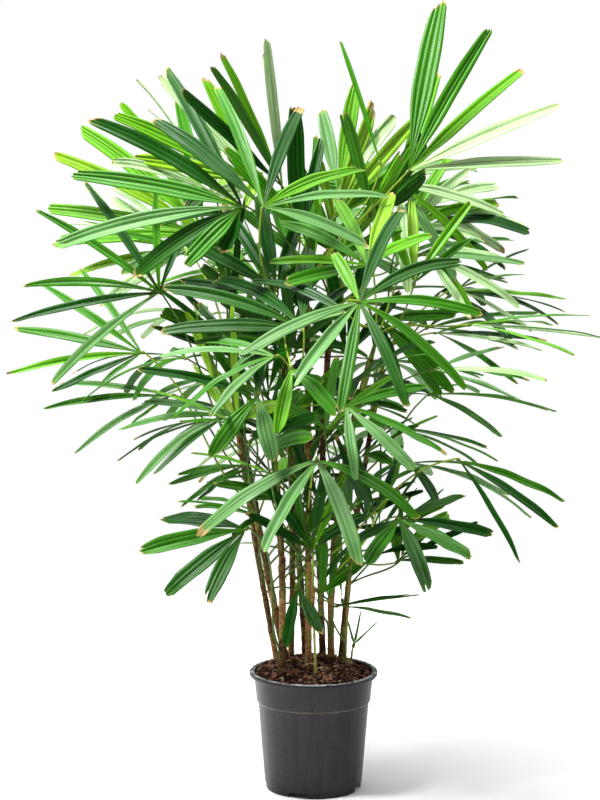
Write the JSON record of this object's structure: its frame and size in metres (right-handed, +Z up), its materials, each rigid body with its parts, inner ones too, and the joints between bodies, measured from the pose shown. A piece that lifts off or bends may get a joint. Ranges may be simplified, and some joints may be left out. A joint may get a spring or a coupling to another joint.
{
  "type": "potted lady palm",
  "caption": "Bushy lady palm with slender fibre-wrapped canes and fan-shaped fronds of blunt leaflets, standing in a round black nursery pot filled with bark mix.",
  "frame": {"origin": "centre of the pot's flat underside, on the floor", "axes": "+Z up along the pot's axis, -Y towards the side seen in the picture, +X to the right in it"},
  "size_m": [1.1037, 1.0096, 1.4426],
  "materials": {
    "bark_mix": "rough, dark, moist",
    "cane_bark": "dull brown fibre",
    "leaf_bright": "fresh yellow-green, satin",
    "leaf_deep": "dark green, satin",
    "leaf_grey": "grey-green with a soft gloss",
    "leaf_mid": "mid green, satin",
    "leaf_pale": "pale green, back-lit look",
    "pot_plastic": "satin black"
  },
  "bodies": {
    "root": {"cane_01": "cane_bark", "cane_02": "cane_bark", "cane_03": "cane_bark", "cane_04": "cane_bark", "cane_05": "cane_bark", "cane_06": "cane_bark", "cane_07": "cane_bark", "cane_08": "cane_bark", "cane_09": "cane_bark", "cane_10": "cane_bark", "cane_11": "cane_bark", "cane_12": "cane_bark", "frond_01": "leaf_deep", "frond_02": "leaf_deep", "frond_03": "leaf_mid", "frond_04": "leaf_deep", "frond_05": "leaf_grey", "frond_06": "leaf_mid", "frond_07": "leaf_pale", "frond_08": "leaf_deep", "frond_09": "leaf_mid", "frond_10": "leaf_mid", "frond_11": "leaf_deep", "frond_12": "leaf_grey", "frond_13": "leaf_mid", "frond_14": "leaf_pale", "frond_15": "leaf_grey", "frond_16": "leaf_deep", "frond_17": "leaf_bright", "frond_18": "leaf_mid", "frond_19": "leaf_pale", "frond_20": "leaf_grey", "frond_21": "leaf_deep", "frond_22": "leaf_deep", "frond_23": "leaf_mid", "frond_24": "leaf_deep", "frond_25": "leaf_mid", "frond_26": "leaf_deep", "frond_27": "leaf_mid", "frond_28": "leaf_deep", "frond_29": "leaf_mid", "frond_30": "leaf_deep", "frond_31": "leaf_mid", "pot": "pot_plastic", "soil": "bark_mix", "tuft_01": "leaf_mid", "tuft_02": "leaf_mid", "tuft_03": "leaf_mid", "tuft_04": "leaf_mid", "tuft_05": "leaf_deep", "tuft_06": "leaf_mid", "tuft_07": "leaf_mid", "tuft_08": "leaf_mid", "tuft_09": "leaf_mid", "tuft_10": "leaf_mid", "tuft_11": "leaf_mid", "tuft_12": "leaf_mid"}
  },
  "joints": []
}
